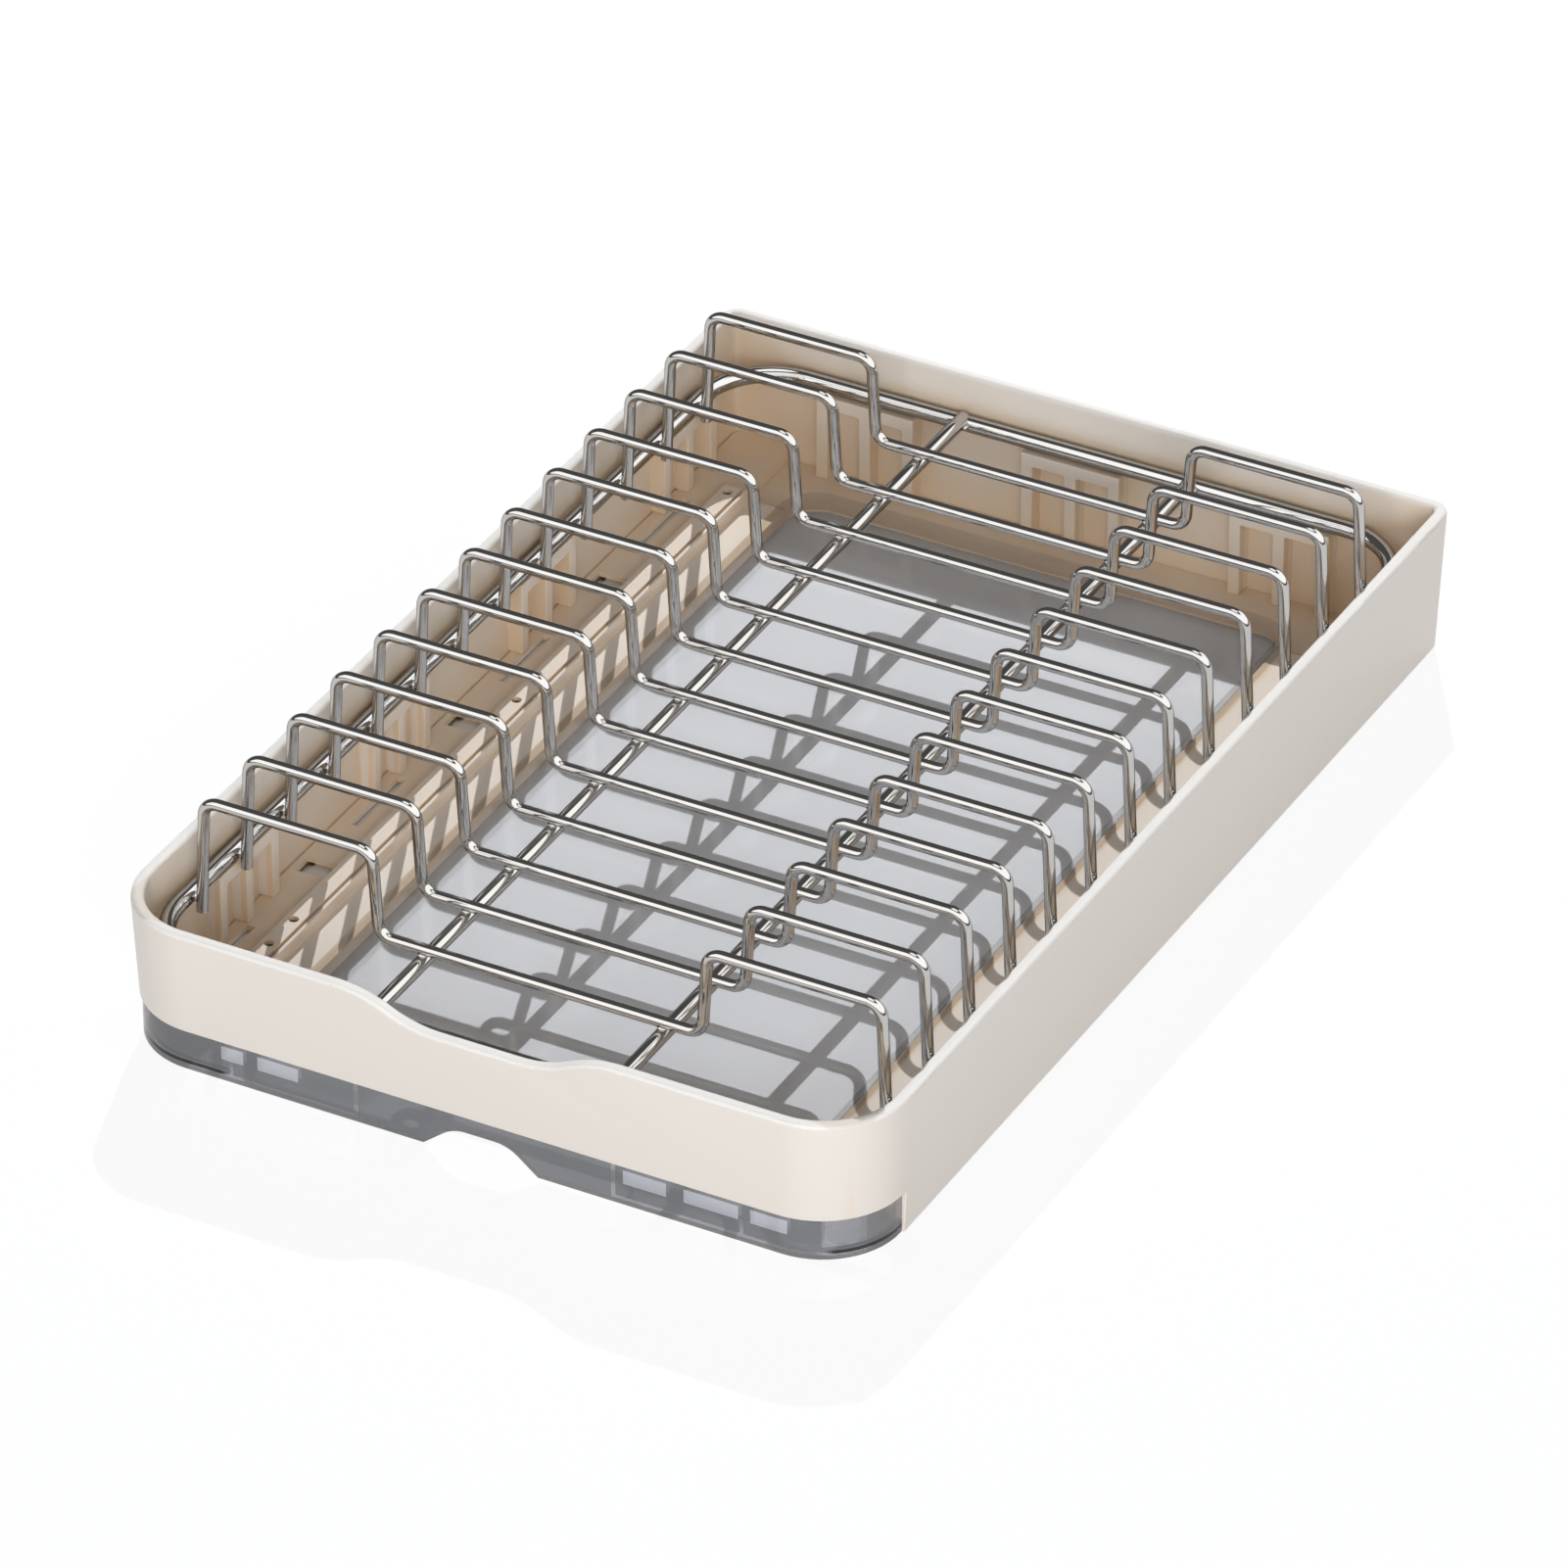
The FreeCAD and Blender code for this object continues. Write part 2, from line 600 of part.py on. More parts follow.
def make_housing(name, side):
    body = new_body(name + "_rail_housing")
    under = CHANNEL_UNDER
    inside_top = "(strip_top - strip_wall)"
    section = outline(body, "%s_housing_section" % name, "XZ", "strip_end - depth / 2", mirrored(side, [
        (HOUSING_OUT, under), (HOUSING_OUT, "channel_floor"), (STRIP_OUT, "channel_floor"),
        (STRIP_OUT, "strip_top"), (STRIP_IN, "strip_top"), (STRIP_IN, "ledge_top"),
        (STRIP_IN + " + strip_wall", "ledge_top"), (STRIP_IN + " + strip_wall", inside_top),
        (STRIP_OUT + " - strip_wall", inside_top), (STRIP_OUT + " - strip_wall", under)]))
    pad(body, section, "depth - strip_end - side_start - slip")

    rear = outline(body, "%s_rear_floor" % name, "XY", under, mirrored(side, [
        (STRIP_IN + " + strip_wall", STRIP_REAR), (HOUSING_OUT, STRIP_REAR),
        (HOUSING_OUT, REAR_WALL + " - seat_gap", "rear_corner - wall + slip"),
        (STRIP_IN + " + strip_wall", REAR_WALL + " - seat_gap")]))
    pad(body, rear, "channel_thick")
    for end_name, low in (("rear", STRIP_REAR + " - strip_wall"), ("front", SIDE_FRONT + " + slip")):
        cap = outline(body, "%s_%s_cap" % (name, end_name), "XY", under, mirrored(side, rectangle(
            STRIP_IN + " + strip_wall", STRIP_OUT, low, low + " + strip_wall")))
        pad(body, cap, "strip_top - %s" % under)
    low = "(rear_plate_top - rear_plate_thick)"
    web = outline(body, "%s_rear_web" % name, "XY", low, mirrored(side, rectangle(
        STRIP_IN + " + strip_wall", STRIP_IN + " + 2 * strip_wall", STRIP_REAR, REAR_WALL + " - seat_gap")))
    pad(body, web, "channel_floor - " + low)

    rings = [("%d * %s" % (side, SCREW_X), place_y, "access_hole") for place_y in screw_places()]
    cut(body, circles(body, "%s_access_holes" % name, "XY", "strip_top", rings), "strip_wall + slip")
    rings = [("%d * %s" % (side, RAIL_MIDDLE), place_y, "screw_shank") for place_y in rail_screw_places()]
    cut(body, circles(body, "%s_pilot_holes" % name, "XY", under, rings), "screw_bite", reverse=True)
    for step in SIDE_BRACKETS:
        centre = "(%g * %s - window_shift)" % (step, WINDOW_PITCH)
        edge = BRACKET_FACE + " - window_gap"
        window = outline(body, "%s_window" % name, "XY", "channel_floor", mirrored(side, rectangle(
            edge + " - window_wide", edge, centre + " - window_long / 2", centre + " + window_long / 2")))
        cut(body, window, "channel_thick + past")
    for step in REAR_BRACKETS:
        centre = "(%g * %s)" % (step, WINDOW_PITCH)
        edge = STRIP_OUT + " + opening_gap"
        opening = outline(body, "%s_opening" % name, "XY", "channel_floor", mirrored(side, rectangle(
            edge, edge + " + opening_wide", centre + " - opening_long / 2", centre + " + opening_long / 2")))
        cut(body, opening, "channel_thick + past")
    nodes.append(body)


# Tray carrier: the ledges on which the drip tray slides, joined behind it by a thin plate

def make_carrier():
    body = new_body("tray_carrier")
    plate_low = "(rear_plate_top - rear_plate_thick)"
    rear = REAR_WALL + " - seat_gap"
    curve = "pan_corner + clearance"
    plan = [("-" + LEDGE_OUT, STRIP_REAR), ("-" + APRON_IN, STRIP_REAR),
            ("-" + APRON_IN, "depth / 2 - rear_plate_front", curve),
            (APRON_IN, "depth / 2 - rear_plate_front", curve),
            (APRON_IN, STRIP_REAR), (LEDGE_OUT, STRIP_REAR), (LEDGE_OUT, rear), ("-" + LEDGE_OUT, rear)]
    pad(body, outline(body, "rear_plate", "XY", plate_low, plan), "rear_plate_thick")
    for name, side in SIDES.items():
        web = outline(body, "%s_end_web" % name, "XY", plate_low, mirrored(side, rectangle(
            APRON_IN, LEDGE_OUT, STRIP_REAR, STRIP_REAR + " + end_web")))
        pad(body, web, "ledge_top - %s" % plate_low)
        start = "strip_end - end_web - depth / 2"
        section = outline(body, "%s_ledge_section" % name, "XZ", start, mirrored(side, [
            (APRON_IN, plate_low), (APRON_IN + " + apron", plate_low),
            (APRON_IN + " + apron", "ledge_top - ledge_thick"), (LEDGE_OUT, "ledge_top - ledge_thick"),
            (LEDGE_OUT, "ledge_top"), (UPSTAND_OUT, "ledge_top"), (UPSTAND_OUT, "upstand"),
            (UPSTAND_OUT + " - upstand_thick", "upstand"), (UPSTAND_OUT + " - upstand_thick", "ledge_top"),
            (APRON_IN, "ledge_top")]))
        pad(body, section, "%s + end_web - %s - slip" % (STRIP_REAR, SIDE_FRONT))
    for name, side in SIDES.items():
        near = APRON_IN + " + pocket_side"
        low = STRIP_REAR + " + pocket_back"
        hole = outline(body, "%s_pocket" % name, "XY", "rear_plate_top", mirrored(side, rectangle(
            near, near + " + pocket", low, low + " + pocket")))
        cut(body, hole, "rear_plate_thick + past")
    nodes.append(body)


# Drip tray: a clear pan with a wrap-round front, a hand pull and a finger notch

def wrap(body, name, inset, thick):
    """Plan of a wall that follows the tray's front and turns back along its sides."""
    side = "(%s - %s)" % (TRAY_SIDE, inset)
    face = "(%s + %s)" % (FRONT_FACE, inset)
    curve = "fascia_corner - " + inset
    inner_side = "(%s - %s)" % (side, thick)
    inner_face = "(%s + %s)" % (face, thick)
    inner_curve = "%s - %s" % (curve, thick)
    return outline(body, name, "XY", "tray_bottom", [
        ("-" + side, TRAY_END), ("-" + side, face, curve), (side, face, curve), (side, TRAY_END),
        (inner_side, TRAY_END), (inner_side, inner_face, inner_curve),
        ("-" + inner_side, inner_face, inner_curve), ("-" + inner_side, TRAY_END)])


def make_tray():
    body = new_body("drip_tray")
    back_of_front = FRONT_FACE + " + fascia"
    floor = "(tray_bottom + tray_floor)"
    flange_low = "(ledge_top + seat_gap)"
    flange_top = "(ledge_top + seat_gap + flange_thick)"
    pan = outline(body, "pan_outside", "XY", "tray_bottom", [
        ("-" + PAN_OUT, back_of_front), (PAN_OUT, back_of_front), (PAN_OUT, PAN_REAR, "pan_corner"),
        ("-" + PAN_OUT, PAN_REAR, "pan_corner")])
    pad(body, pan, flange_top + " - tray_bottom")
    rest = outline(body, "pan_flange", "XY", flange_low, [
        ("-%s - flange" % PAN_OUT, TRAY_END), (PAN_OUT + " + flange", TRAY_END),
        (PAN_OUT + " + flange", PAN_REAR + " + flange", "pan_corner + flange"),
        ("-%s - flange" % PAN_OUT, PAN_REAR + " + flange", "pan_corner + flange")])
    pad(body, rest, "flange_thick")
    hollow = outline(body, "pan_inside", "XY", flange_top, [
        ("-" + PAN_IN, FRONT_FACE), (PAN_IN, FRONT_FACE),
        (PAN_IN, PAN_REAR + " - pan_wall", "pan_corner - pan_wall"),
        ("-" + PAN_IN, PAN_REAR + " - pan_wall", "pan_corner - pan_wall")])
    cut(body, hollow, "%s - %s" % (flange_top, floor))

    plate = outline(body, "front_floor", "XY", "tray_bottom", [
        ("-" + TRAY_SIDE, TRAY_END), ("-" + TRAY_SIDE, FRONT_FACE, "fascia_corner"),
        (TRAY_SIDE, FRONT_FACE, "fascia_corner"), (TRAY_SIDE, TRAY_END)])
    pad(body, plate, "tray_floor")
    pad(body, wrap(body, "front_dam", "dam_inset", "pan_wall"), flange_top + " - tray_bottom")
    pad(body, wrap(body, "front_wall", "0", "fascia"), TRAY_TOP + " - tray_bottom")

    pull = outline(body, "pull_outside", "XY", "tray_bottom", rectangle(
        "-pull_half - pull_wall / 2", "pull_half + pull_wall / 2", FRONT_FACE + " + fascia / 2",
        back_of_front + " + pull_deep + pull_wall"))
    pad(body, pull, TRAY_TOP + " - tray_bottom")
    finger = outline(body, "pull_inside", "XY", "tray_bottom", rectangle(
        "-pull_half + pull_wall / 2", "pull_half - pull_wall / 2", back_of_front,
        back_of_front + " + pull_deep"))
    cut(body, finger, TRAY_TOP + " - tray_bottom - pull_wall", reverse=True)
    notch = outline(body, "finger_notch", "XZ", "past - " + FRONT_FACE, [
        ("-notch_half", "0"), ("-notch_half", "tray_bottom"), ("-notch_flat", "notch_top", "notch_round"),
        ("notch_flat", "notch_top", "notch_round"), ("notch_half", "tray_bottom"), ("notch_half", "0")])
    cut(body, notch, "fascia + 2 * past")
    nodes.append(body)


# Wire rack: a ring, two rods and the hoops that hold the plates

def make_ring():
    body = new_body("rack_ring")
    path = outline(body, "ring_path", "XY", "ring_height", [
        ("0", "-" + RING_Y), (RING_X, "-" + RING_Y, "ring_corner"), (RING_X, RING_Y, "ring_corner"),
        ("-" + RING_X, RING_Y, "ring_corner"), ("-" + RING_X, "-" + RING_Y, "ring_corner")])
    profile = circles(body, "ring_profile", "YZ", "0", [("-" + RING_Y, "ring_height", "ring_wire")])
    doc.recompute()
    wire_along(body, "ring_wire_sweep", path, profile)
    nodes.append(body)
    return body


def make_rod(name, place_x, ring):
    """A rod under the hoops, its ends shaped over the ring's wire."""
    bar = doc.addObject("Part::Cylinder", name + "_bar")
    bar.Placement = FreeCAD.Placement(FreeCAD.Vector(), FreeCAD.Rotation(FreeCAD.Vector(1, 0, 0), 90))
    bind(bar, Radius="rod_wire / 2", Height="2 * " + RING_Y, Placement__Base__x=place_x,
         Placement__Base__y=RING_Y, Placement__Base__z=ROD_Z)
    rod = doc.addObject("Part::Cut", name)
    rod.Base = bar
    rod.Tool = ring
    rod.Label = name
    nodes.append(rod)


def make_hoop(number):
    """One bent wire: an arch at each side and a low run between them."""
    name = "hoop_%02d" % (number + 1)
    body = new_body(name)
    arch_out = "(%s - leg_lean)" % LEG_X
    arch_in = "(%s - leg_lean - arch_width)" % LEG_X
    foot_z = "(ring_height - leg_tail)"
    foot_x = "(%s + leg_lean * leg_tail / (arch_height - ring_height))" % LEG_X
    path = outline(body, name + "_path", "XZ", "0", [
        ("-" + foot_x, foot_z), ("-" + arch_out, "arch_height", "hoop_bend"),
        ("-" + arch_in, "arch_height", "hoop_bend"), ("-" + LOW_END, LOW_Z, "hoop_bend"),
        (LOW_END, LOW_Z, "hoop_bend"), (arch_in, "arch_height", "hoop_bend"),
        (arch_out, "arch_height", "hoop_bend"), (foot_x, foot_z)], closed=False)
    profile = circles(body, name + "_profile", "XY", foot_z, [("-" + foot_x, "0", "hoop_wire")])
    doc.recompute()
    wire_along(body, name + "_sweep", path, profile)
    bind(body, Placement__Base__y="%g * %s" % (number - (HOOPS - 1) / 2, HOOP_PITCH))
    nodes.append(body)


make_frame()
for side_name, side_sign in SIDES.items():
    make_outer_rail(side_name, side_sign)
    make_bumper(side_name, side_sign)
    make_inner_rail(side_name, side_sign)
    make_retainer(side_name, side_sign)
    make_balls(side_name, side_sign)
    make_rail_screws(side_name, side_sign)
    make_housing(side_name, side_sign)
make_carrier()
make_tray()
rack_ring = make_ring()
make_rod("left_rod", "left_rod_inset - " + LOW_END, rack_ring)
make_rod("right_rod", LOW_END + " - right_rod_inset", rack_ring)
for hoop_number in range(HOOPS):
    make_hoop(hoop_number)
doc.recompute()

for item in doc.Objects:
    if "Invalid" in item.State or "Error" in item.State:
        raise RuntimeError("%s failed: %s" % (item.Label, item.State))
for node in nodes:
    if node.Shape.isNull() or not node.Shape.isValid() or not node.Shape.Solids:
        raise RuntimeError(node.Label + " has no valid solid")

os.makedirs("parts", exist_ok=True)
for node in nodes:
    node.Shape.exportStep("parts/%s.step" % node.Label)
    print(node.Label, len(node.Shape.Solids), round(node.Shape.Volume, 1))
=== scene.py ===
import math
import bmesh
import bpy
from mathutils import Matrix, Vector


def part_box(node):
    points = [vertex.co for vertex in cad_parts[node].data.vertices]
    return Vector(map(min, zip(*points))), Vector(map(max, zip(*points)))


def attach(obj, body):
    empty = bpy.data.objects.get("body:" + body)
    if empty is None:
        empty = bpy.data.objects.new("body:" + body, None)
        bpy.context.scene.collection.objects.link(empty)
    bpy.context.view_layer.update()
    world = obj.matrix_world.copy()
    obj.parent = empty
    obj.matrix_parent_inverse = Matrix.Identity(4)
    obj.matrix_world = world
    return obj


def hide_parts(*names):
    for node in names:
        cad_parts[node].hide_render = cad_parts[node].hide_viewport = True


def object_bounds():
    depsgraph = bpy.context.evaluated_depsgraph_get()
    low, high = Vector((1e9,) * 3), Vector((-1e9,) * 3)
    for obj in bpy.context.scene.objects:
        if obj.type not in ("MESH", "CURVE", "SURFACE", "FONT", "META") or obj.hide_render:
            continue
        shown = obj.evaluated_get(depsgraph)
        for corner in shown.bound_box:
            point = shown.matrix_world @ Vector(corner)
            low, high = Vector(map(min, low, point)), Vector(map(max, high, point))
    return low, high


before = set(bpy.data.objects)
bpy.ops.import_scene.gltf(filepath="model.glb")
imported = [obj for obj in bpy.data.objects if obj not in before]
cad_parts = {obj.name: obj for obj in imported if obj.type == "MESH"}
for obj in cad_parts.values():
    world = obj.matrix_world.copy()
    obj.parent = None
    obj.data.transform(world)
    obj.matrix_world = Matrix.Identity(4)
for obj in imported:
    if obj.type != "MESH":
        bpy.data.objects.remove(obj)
cad_low, cad_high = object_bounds()
scene = bpy.context.scene
MM = 0.001

# The view: a long lens from above the front right corner, on a pale studio floor.
# The floor and the room read as white, and the floor keeps a faint shadow of the drawer.
CAMERA_PLACE = Vector((1.58707, -2.97436, 2.24381))
CAMERA_TARGET = Vector((0.00436, -0.01419, 0.03203))
CAMERA_LENS = 278.9
CAMERA_SENSOR = 36
CAMERA_REACH = 60
FLOOR_HALF = 6.0
FLOOR_DROP = 0.2 * MM
FLOOR_WHITE = (0.97, 0.97, 0.97)
FLOOR_BOUNCE = (0.45, 0.45, 0.45)
SHADOW_KEPT = 0.10
NEAR_FLOOR = 1.0
FOOT_INSET = 3 * MM

camera = bpy.data.objects.new("camera", bpy.data.cameras.new("camera"))
scene.collection.objects.link(camera)
camera.location = CAMERA_PLACE
camera.rotation_mode = "QUATERNION"
camera.rotation_quaternion = (CAMERA_TARGET - CAMERA_PLACE).to_track_quat("-Z", "Y")
camera.data.lens = CAMERA_LENS
camera.data.sensor_width = CAMERA_SENSOR
camera.data.clip_end = CAMERA_REACH
scene.camera = camera
scene.view_settings.view_transform = "Standard"


def new_material(name):
    """A material with an empty node tree, ready for shaders, and that tree."""
    material = bpy.data.materials.new(name)
    material.use_nodes = True
    material.node_tree.nodes.clear()
    return material, material.node_tree


def node(tree, kind, **settings):
    """One node with its settings."""
    made = tree.nodes.new(kind)
    for key, value in settings.items():
        setattr(made, key, value)
    return made


def maths(tree, operation, first, second):
    """One sum over two values, each a socket or a number."""
    made = node(tree, "ShaderNodeMath", operation=operation)
    for spot, value in enumerate((first, second)):
        if isinstance(value, (int, float)):
            made.inputs[spot].default_value = value
        else:
            tree.links.new(value, made.inputs[spot])
    return made.outputs[0]


def ramp_between(tree, value, first, last, curve="SMOOTHSTEP"):
    """0 where the value is at the first number, rising to 1 at the last one."""
    made = node(tree, "ShaderNodeMapRange", interpolation_type=curve)
    made.inputs["From Min"].default_value = first
    made.inputs["From Max"].default_value = last
    tree.links.new(value, made.inputs["Value"])
    return made.outputs[0]


def mixed(tree, factor, first, second):
    """A colour that goes from the first to the second, each a socket or three numbers."""
    made = node(tree, "ShaderNodeMix", data_type="RGBA")
    tree.links.new(factor, made.inputs["Factor"])
    for end, value in (("A", first), ("B", second)):
        if isinstance(value, tuple):
            made.inputs[end].default_value = (*value, 1)
        else:
            tree.links.new(value, made.inputs[end])
    return made.outputs["Result"]


def blended(tree, share, first, second):
    """A shader that goes from the first to the second."""
    made = node(tree, "ShaderNodeMixShader")
    for spot, value in enumerate((share, first, second)):
        tree.links.new(value, made.inputs[spot])
    return made.outputs[0]


def object_place(tree):
    return node(tree, "ShaderNodeTexCoord").outputs["Object"]


def split_up(tree, vector):
    """A vector's X, Y and Z as sockets."""
    made = node(tree, "ShaderNodeSeparateXYZ")
    tree.links.new(vector, made.inputs[0])
    return made.outputs


def outside_box(tree, half_x, half_y, soft):
    """0 over a rectangle round the origin, rising to 1 within a soft edge outside it."""
    at = split_up(tree, object_place(tree))
    past_x = ramp_between(tree, maths(tree, "ABSOLUTE", at["X"], 0), half_x, half_x + soft, "LINEAR")
    past_y = ramp_between(tree, maths(tree, "ABSOLUTE", at["Y"], 0), half_y, half_y + soft, "LINEAR")
    return maths(tree, "MAXIMUM", past_x, past_y)


def floor_material():
    """White glow where the floor is looked at, bar the kept shadow, and matt white for the lamps' light."""
    material, tree = new_material("studio_floor")
    ray = node(tree, "ShaderNodeLightPath").outputs
    outside = outside_box(tree, cad_high.x - FOOT_INSET, cad_high.y - FOOT_INSET, FOOT_INSET)
    bounced = maths(tree, "MULTIPLY", ray["Is Diffuse Ray"], outside)
    paint = node(tree, "ShaderNodeBsdfDiffuse")
    tree.links.new(mixed(tree, bounced, FLOOR_WHITE, FLOOR_BOUNCE), paint.inputs["Color"])
    glow = node(tree, "ShaderNodeEmission")
    glow.inputs["Strength"].default_value = 1
    looked_at = maths(tree, "MAXIMUM", ray["Is Camera Ray"], ray["Is Transmission Ray"])
    looked_at = maths(tree, "MAXIMUM", looked_at, ray["Is Glossy Ray"])
    bright = maths(tree, "MAXIMUM", outside_box(tree, NEAR_FLOOR, NEAR_FLOOR, NEAR_FLOOR), 1 - SHADOW_KEPT)
    uncovered = maths(tree, "LESS_THAN", ray["Transparent Depth"], 0.5)
    open_floor = maths(tree, "MULTIPLY", maths(tree, "MULTIPLY", looked_at, bright),
                       maths(tree, "MAXIMUM", outside, uncovered))
    out = node(tree, "ShaderNodeOutputMaterial")
    tree.links.new(blended(tree, open_floor, paint.outputs[0], glow.outputs[0]), out.inputs["Surface"])
    return material


floor_mesh = bpy.data.meshes.new("studio_floor")
floor_mesh.from_pydata([(-FLOOR_HALF, -FLOOR_HALF, 0), (FLOOR_HALF, -FLOOR_HALF, 0),
                        (FLOOR_HALF, FLOOR_HALF, 0), (-FLOOR_HALF, FLOOR_HALF, 0)], [], [(0, 1, 2, 3)])
floor_mesh.materials.append(floor_material())
studio_floor = bpy.data.objects.new("studio_floor", floor_mesh)
scene.collection.objects.link(studio_floor)
studio_floor.location.z = -FLOOR_DROP

# The light: one small lamp behind on the left at forty degrees, whose shadows run forward and to the right,
# and a wide soft lamp low in front. Metal and gloss see white screens in front, on the right and overhead,
# with a dark room between them, which gives the wires their black and white lines.
KEY_DIRECTION = Vector((-0.49, 1.10, 1.0)).normalized()
KEY_DISTANCE = 3.2
KEY_SIZE = 0.02
KEY_POWER = 92
FILL_PLACE = Vector((1.25, -2.5, 0.75))
FILL_SIZE = 1.6
FILL_POWER = 57
LAMP_TARGET = Vector((0, 0, 0.02))
LAMP_COLOUR = (0.945, 0.985, 1.05)
ROOM_COLOUR = (0.97, 0.99, 1.02)
ROOM_BANDS = ((0.50, 0.55), (0.56, 0.30), (0.66, 0.75), (0.80, 0.60), (0.90, 0.18), (1.0, 0.12))
ROOM_STRENGTH = 0.86
FRONT_SCREEN = (-0.26, -0.38)
SIDE_SCREEN = (0.04, 0.18)
SCREEN_FOOT = (0.10, 0.18)
SCREEN_TOP = (0.90, 0.82)
OVERHEAD = (0.945, 0.97)
DARK_ROOM = 0.06
SHINE_STRENGTH = 1.8


def lamp(name, place, size, power):
    light = bpy.data.lights.new(name, "AREA")
    light.size = size
    light.energy = power
    light.color = LAMP_COLOUR
    made = bpy.data.objects.new(name, light)
    scene.collection.objects.link(made)
    made.location = place
    made.rotation_mode = "QUATERNION"
    made.rotation_quaternion = (LAMP_TARGET - place).to_track_quat("-Z", "Y")
    made.visible_glossy = False


lamp("key_lamp", KEY_DIRECTION * KEY_DISTANCE, KEY_SIZE, KEY_POWER)
lamp("fill_lamp", FILL_PLACE, FILL_SIZE, FILL_POWER)


def banded_room(tree, height):
    """The room's soft light, in bands of level from below to above."""
    soft = node(tree, "ShaderNodeValToRGB")
    for spot, (place, level) in enumerate(ROOM_BANDS):
        band = soft.color_ramp.elements[spot] if spot < 2 else soft.color_ramp.elements.new(place)
        band.position = place
        band.color = (*(level * part for part in ROOM_COLOUR), 1)
    tree.links.new(ramp_between(tree, height, -1, 1, "LINEAR"), soft.inputs[0])
    return soft.outputs[0]


def screens(tree, way):
    """White where a reflection meets a screen, and the dark room elsewhere."""
    sideways = ramp_between(tree, way["X"], *SIDE_SCREEN)
    ahead = ramp_between(tree, way["Y"], *FRONT_SCREEN)
    level = maths(tree, "MULTIPLY", ramp_between(tree, way["Z"], *SCREEN_FOOT),
                  ramp_between(tree, way["Z"], *SCREEN_TOP))
    around = maths(tree, "MULTIPLY", maths(tree, "MAXIMUM", ahead, sideways), level)
    white = maths(tree, "MAXIMUM", around, ramp_between(tree, way["Z"], *OVERHEAD))
    return maths(tree, "MAXIMUM", white, DARK_ROOM)


def studio_room():
    """One world: soft bands for light, screens for gloss and plain white for the camera."""
    world = bpy.data.worlds.new("studio_room")
    world.use_nodes = True
    tree = world.node_tree
    tree.nodes.clear()
    way = split_up(tree, node(tree, "ShaderNodeTexCoord").outputs["Generated"])
    lit = node(tree, "ShaderNodeBackground")
    lit.inputs["Strength"].default_value = ROOM_STRENGTH
    tree.links.new(banded_room(tree, way["Z"]), lit.inputs["Color"])
    mirrored = node(tree, "ShaderNodeBackground")
    mirrored.inputs["Strength"].default_value = SHINE_STRENGTH
    tree.links.new(screens(tree, way), mirrored.inputs["Color"])
    seen = node(tree, "ShaderNodeBackground")
    seen.inputs["Color"].default_value = (1, 1, 1, 1)
    ray = node(tree, "ShaderNodeLightPath").outputs
    for_light = blended(tree, ray["Is Glossy Ray"], lit.outputs[0], mirrored.outputs[0])
    out = node(tree, "ShaderNodeOutputWorld")
    tree.links.new(blended(tree, ray["Is Camera Ray"], for_light, seen.outputs[0]), out.inputs["Surface"])
    return world


scene.world = studio_room()

# The moulded pieces: the drawer's frame, the two housings over the rails and the carrier under the tray.
# They are injection moulded in one cream plastic, satin, with a very fine grain from the mould.
# Painted shade gives deep corners a darker, warmer tone, and a painted highlight gives the rim a paler one.
# The frame and the carrier have rounded edges.
CREAM = (0.835, 0.752, 0.66)
CREAM_DEEP = (0.82, 0.733, 0.635)
CREAM_CLOUDS = (14, 3)
# Painted shade: a darker, warmer cream laid into deep corners and bays.
CREAM_PAINTED_SHADE = (0.80, 0.62, 0.43)
RECESS_REACH = 60 * MM
RECESS_SAMPLES = 6
RECESS_RANGE = (0.82, 0.30)
SKIN_REACH = 9.5 * MM
# Painted highlight: a paler cream on the rim's upward faces.
CREAM_PAINTED_HIGHLIGHT = (0.93, 0.88, 0.81)
RIM_REACH = 4.5 * MM
RIM_FACING = (0.10, 0.45)
SATIN = (0.34, 0.46)
SATIN_CLOUDS = (900, 3)
GRAIN_CLOUDS = (2600, 2)
GRAIN_DEPTH = 0.02 * MM
NOISE_RANGE = (0.3, 0.7)
FRAME_EDGE = 0.45 * MM
CARRIER_EDGE = 0.4 * MM
EDGE_STEPS = 2
WELD_DISTANCE = 0.002 * MM
FLAT_ANGLE = math.radians(1)
SHARP_ANGLE = math.radians(35)
STRAY_SHADING = 0.5


def noise(tree, coordinates, scale, detail):
    made = node(tree, "ShaderNodeTexNoise")
    made.inputs["Scale"].default_value = scale
    made.inputs["Detail"].default_value = detail
    tree.links.new(coordinates, made.inputs["Vector"])
    return made.outputs["Fac"]


def between(tree, factor, low, high):
    """A number from low to high as a noise goes through the middle of its range."""
    made = node(tree, "ShaderNodeMapRange")
    values = {"From Min": NOISE_RANGE[0], "From Max": NOISE_RANGE[1], "To Min": low, "To Max": high}
    for name, value in values.items():
        made.inputs[name].default_value = value
    tree.links.new(factor, made.inputs["Value"])
    return made.outputs[0]


def grain(tree, height, depth, strength):
    made = node(tree, "ShaderNodeBump")
    made.inputs["Strength"].default_value = strength
    made.inputs["Distance"].default_value = depth
    tree.links.new(height, made.inputs["Height"])
    return made.outputs[0]


def surface(name, **values):
    """A material with one Principled shader, its constants set on its own sockets."""
    material, tree = new_material(name)
    out = node(tree, "ShaderNodeOutputMaterial")
    shader = node(tree, "ShaderNodeBsdfPrincipled")
    tree.links.new(shader.outputs[0], out.inputs["Surface"])
    for key, value in values.items():
        shader.inputs[key.replace("_", " ")].default_value = value
    return material, tree, shader.inputs, object_place(tree)


def painted_shade_mask(tree):
    """1 deep inside a corner or a bay, 0 in the open: where the darker, warmer shade is painted."""
    recess = node(tree, "ShaderNodeAmbientOcclusion", samples=RECESS_SAMPLES)
    recess.inputs["Distance"].default_value = RECESS_REACH
    return ramp_between(tree, recess.outputs["AO"], *RECESS_RANGE, "LINEAR")


